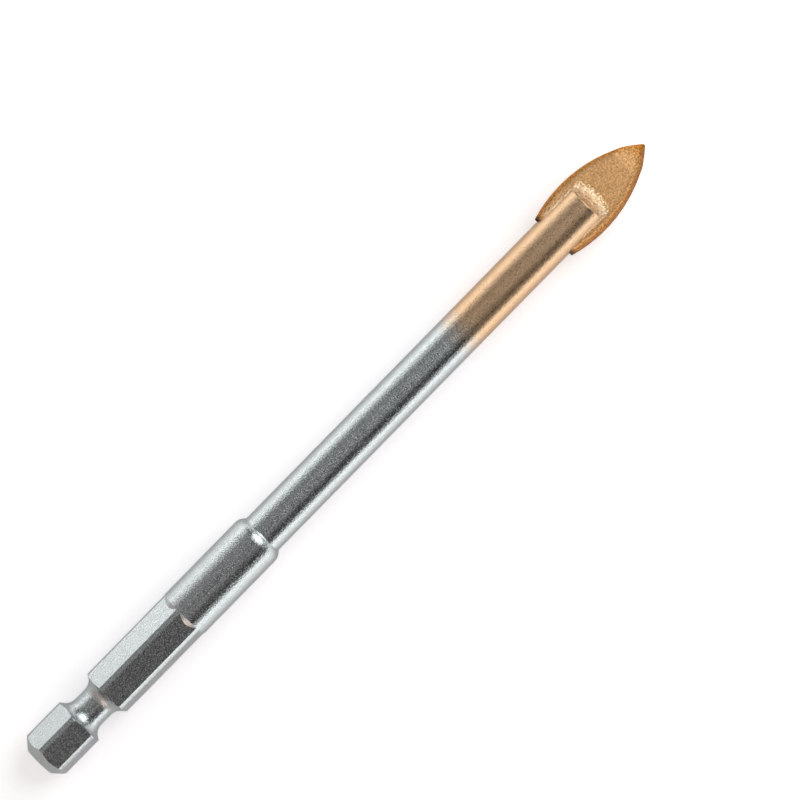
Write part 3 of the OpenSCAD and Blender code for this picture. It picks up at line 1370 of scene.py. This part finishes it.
    def build(self) -> bpy.types.Object:
        """Makes the braze, dresses it and puts it in its node's place.

        Returns:
            The piece.
        """
        values = {
            "Lump Width": self.lump_w * MM,
            "Lump Height": self.lump_h * MM,
            "Grain Width": self.grain_w * MM,
            "Grain Height": self.grain_h * MM,
            "Detail": self.detail,
            "Seed": self.seed,
            "Material": self.finish.material(),
        }
        piece = grown("braze_fillets", self.base(), self.tree(), values)
        piece.data.set_sharp_from_angle(angle=math.radians(self.sharp_angle))
        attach(piece, BODY)
        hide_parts("braze_joint")
        return piece


@dataclass(frozen=True)
class Panel:
    """A soft light panel.

    Attributes:
        name: name of the lamp.
        place: middle of the panel, in metres.
        facing: direction in which it shines.
        size: width and height, in metres.
        glow: radiance, where 1 is the white of the picture.
        outline: outline of the panel.
        colour: colour of the light.
    """

    name: str
    place: tuple[float, float, float]
    facing: tuple[float, float, float]
    size: tuple[float, float]
    glow: float
    outline: Outline = Outline.OBLONG
    colour: str = "#FFFFFF"

    def hang(self) -> None:
        """Adds the lamp to the scene."""
        lamp = bpy.data.lights.new(self.name, "AREA")
        lamp.shape = self.outline.value
        lamp.size, lamp.size_y = self.size
        lamp.energy = math.pi * self.size[0] * self.size[1] * self.glow
        lamp.color = linear(self.colour)[:3]
        light = bpy.data.objects.new(self.name, lamp)
        light.location = self.place
        light.rotation_euler = Vector(self.facing).to_track_quat("-Z", "Y").to_euler()
        light.visible_camera = False
        bpy.context.scene.collection.objects.link(light)


@dataclass
class Studio:
    """Pale floor, soft panels, grey surroundings and the camera over the bit.

    Attributes:
        floor_colour: colour of the floor.
        floor_roughness: roughness of the floor.
        floor_gloss: specular level of the floor.
        floor_half: half of the floor's width, in metres.
        seen_glow: light that the floor adds for the eye.
        mirrored_glow: light that the floor adds in reflections, away from the bit.
        mirrored_zone: distances from the bit's axis between which that light comes in, in metres.
        shank_zone: places along the bit between which that light comes in, in metres.
        white: radiance of the brightest surroundings, where 1 is the white of the picture.
        greys: bearing in degrees, and the share of that radiance there, round the length of the bit.
        point_colour: colour of the surroundings beyond the point, as a share of that radiance.
        shank_colour: colour of the surroundings beyond the shank.
        end_zone: sines of the angles from square to the bit between which those colours take over.
        grid: cells of the grid under the ceiling lights, per unit of slope.
        grid_range: least and most brightness of its cells.
        tilt: angle by which the camera stands towards the point from straight overhead, in degrees.
        turn: angle of the bit's axis over the picture's horizontal, in degrees.
        aim: point of the bit at the middle of the picture, in metres.
        distance: distance of the camera, in metres.
        frame_w: width of the picture at the bit, in metres.
        panels: the lamps.
    """

    floor_colour: str = "#F3F3F4"
    floor_roughness: float = 0.9
    floor_gloss: float = 0.1
    floor_half: float = 3.0
    seen_glow: float = 0.5
    mirrored_glow: float = 0.7
    mirrored_zone: tuple[float, float] = (0.007, 0.017)
    shank_zone: tuple[float, float] = (-0.062, -0.034)
    white: float = 1.4
    greys: tuple[tuple[float, float], ...] = (
        (-90, 0.7), (-78, 0.6), (-70, 0.34), (-63, 0.14), (-56, 0.06), (-49, 0.02), (-42, 0.01), (-34, 0.03),
        (-26, 0.17), (-12, 0.2), (0, 0.05), (12, 0.17), (26, 0.26), (33, 0.2), (41, 0.12), (50, 0.34),
        (60, 0.64), (70, 0.86), (90, 0.92),
    )
    point_colour: str = "#66686A"
    shank_colour: str = "#A89C98"
    end_zone: tuple[float, float] = (0.25, 0.5)
    grid: float = 7.0
    grid_range: tuple[float, float] = (0.0, 2.0)
    tilt: float = 3.5
    turn: float = 45.57
    aim: tuple[float, float, float] = (0.0098, -0.00053, 0.00345)
    distance: float = 1.8
    frame_w: float = 0.0988
    panels: tuple[Panel, ...] = (
        Panel("panel_left", (0.27, 0.35, 0.045), (0, -1, 0), (0.66, 0.09), 0.78),
        Panel("panel_right", (0.15, -0.35, 0.061), (0, 1, 0), (0.8, 0.122), 1.1),
        Panel("panel_point", (0.68, 0.0, 0.58), (-0.68, 0, -0.58), (0.8, 1.0), 2.0, Outline.ROUND),
        Panel(
            "panel_shank", (-0.68, -0.38, 0.4), (0.68, 0.38, -0.4), (0.6, 0.44), 0.9, Outline.ROUND, "#F6E0D8"
        ),
    )

    def lay_floor(self) -> None:
        """Makes the pale floor, which keeps the bit's shadow."""
        half = self.floor_half
        corners = [Vector((x * half, y * half, 0)) for x, y in ((-1, -1), (1, -1), (1, 1), (-1, 1))]
        floor = new_object("floor", new_mesh("floor", corners, [(0, 1, 2, 3)]))
        # To the eye: matte paper shows no highlight of its own. It glows a little, so that it is white round
        # the bit and in the metal's reflections, but not close to the bit, where the rims mirror it dark.
        material = bpy.data.materials.new("matte_paper_backdrop")
        material.use_nodes = True
        tree = material.node_tree
        node = partial(add_node, tree)
        place = node("ShaderNodeSeparateXYZ", {0: node("ShaderNodeTexCoord").outputs["Object"]})
        away = node("ShaderNodeMath", {0: place.outputs["Y"]}, operation="ABSOLUTE")
        path = node("ShaderNodeLightPath").outputs
        mirrored = path["Is Glossy Ray"]
        for spot, (near, far) in ((away, self.mirrored_zone), (place, self.shank_zone)):
            share = node("ShaderNodeMapRange", {"Value": spot, "From Min": near, "From Max": far})
            mirrored = node("ShaderNodeMath", {0: mirrored, 1: share}, operation="MULTIPLY")
        mirrored = node("ShaderNodeMath", {0: mirrored, 1: self.mirrored_glow}, operation="MULTIPLY")
        seen = {0: path["Is Camera Ray"], 1: self.seen_glow, 2: mirrored}
        feed(tree, tree.nodes["Principled BSDF"], {
            "Base Color": linear(self.floor_colour),
            "Roughness": self.floor_roughness,
            "Specular IOR Level": self.floor_gloss,
            "Emission Color": linear(self.floor_colour),
            "Emission Strength": node("ShaderNodeMath", seen, operation="MULTIPLY_ADD"),
        })
        floor.data.materials.append(material)

    def set_world(self) -> None:
        """Surrounds the bit with greys that change with the bearing, and with white for the camera alone."""
        world = bpy.data.worlds.new("studio")
        bpy.context.scene.world = world
        world.use_nodes = True
        tree = world.node_tree
        node = partial(add_node, tree)
        direction = node("ShaderNodeTexCoord").outputs["Generated"]
        way = node("ShaderNodeSeparateXYZ", {0: direction})
        bearing = node("ShaderNodeMath", {0: way.outputs["Y"], 1: way.outputs["Z"]}, operation="ARCTAN2")
        share = node("ShaderNodeMapRange", {"Value": bearing, "From Min": -math.pi, "From Max": math.pi})
        ramp = node("ShaderNodeValToRGB", {0: share})
        stops = ramp.color_ramp.elements
        shares = [(TURN / 2 + angle) / TURN for angle, _ in self.greys]
        for inner in shares[1:-1]:
            stops.new(inner)
        for stop, at, (_, grey) in zip(stops, shares, self.greys):
            stop.position = at
            stop.color = (grey, grey, grey, 1)
        overhead = node("ShaderNodeVectorMath", {0: direction, 1: way.outputs["Z"]}, operation="DIVIDE")
        cells = {f"Color{k}": (level, level, level, 1) for k, level in enumerate(self.grid_range, 1)}
        grid = node("ShaderNodeTexChecker", {"Vector": overhead, "Scale": self.grid, **cells})
        lit = {SHARE: 1.0, COLOUR_A: ramp, COLOUR_B: grid}
        around = node("ShaderNodeMix", lit, data_type="RGBA", blend_type="MULTIPLY").outputs[MIXED]
        for sign, colour in ((1, self.point_colour), (-1, self.shank_colour)):
            near, far = self.end_zone
            zone = {"Value": way, "From Min": sign * near, "From Max": sign * far}
            beyond = node("ShaderNodeMapRange", zone, interpolation_type="SMOOTHSTEP")
            ended = {SHARE: beyond, COLOUR_A: around, COLOUR_B: linear(colour)}
            around = node("ShaderNodeMix", ended, data_type="RGBA").outputs[MIXED]
        background = tree.nodes["Background"]
        feed(tree, background, {"Color": around, "Strength": self.white})
        backdrop = node("ShaderNodeBackground", {"Color": linear(self.floor_colour)})
        seen = node("ShaderNodeLightPath").outputs["Is Camera Ray"]
        chosen = node("ShaderNodeMixShader", {0: seen, 1: background, 2: backdrop})
        feed(tree, tree.nodes["World Output"], {"Surface": chosen})

    def set_camera(self) -> None:
        """Places the camera over the bit, with the axis slantwise across the picture."""
        tilt, turn = math.radians(self.tilt), math.radians(self.turn)
        back = Vector((math.sin(tilt), 0, math.cos(tilt)))
        along = Vector((math.cos(tilt), 0, -math.sin(tilt)))
        across = Vector((0, 1, 0))
        right = along * math.cos(turn) - across * math.sin(turn)
        up = along * math.sin(turn) + across * math.cos(turn)
        data = bpy.data.cameras.new("camera")
        data.lens = data.sensor_width * self.distance / self.frame_w
        camera = bpy.data.objects.new("camera", data)
        turned = Matrix((right, up, back)).transposed().to_4x4()
        camera.matrix_world = Matrix.Translation(Vector(self.aim) + back * self.distance) @ turned
        bpy.context.scene.collection.objects.link(camera)
        bpy.context.scene.camera = camera

    def build(self) -> None:
        """Sets up the floor, the lamps, the surroundings and the camera."""
        bpy.context.scene.view_settings.view_transform = "Standard"
        self.lay_floor()
        self.set_world()
        self.set_camera()
        for panel in self.panels:
            panel.hang()


def main() -> None:
    """Builds the studio and the pieces of the bit in order."""
    logging.basicConfig(level=logging.INFO, format="%(message)s")
    Studio().build()
    places = Places.read(frame["record"])
    body = SteelBody(places, PlatedSteel())
    plate = CarbidePlate(places, CoatedCarbide())
    braze = BrazeJoint(places, plate, body, CoatedBraze())
    for part in (body, plate, braze):
        piece = part.build()
        LOG.info("%s: %d faces", piece.name, len(piece.data.polygons))


if __name__ == "__main__":
    main()
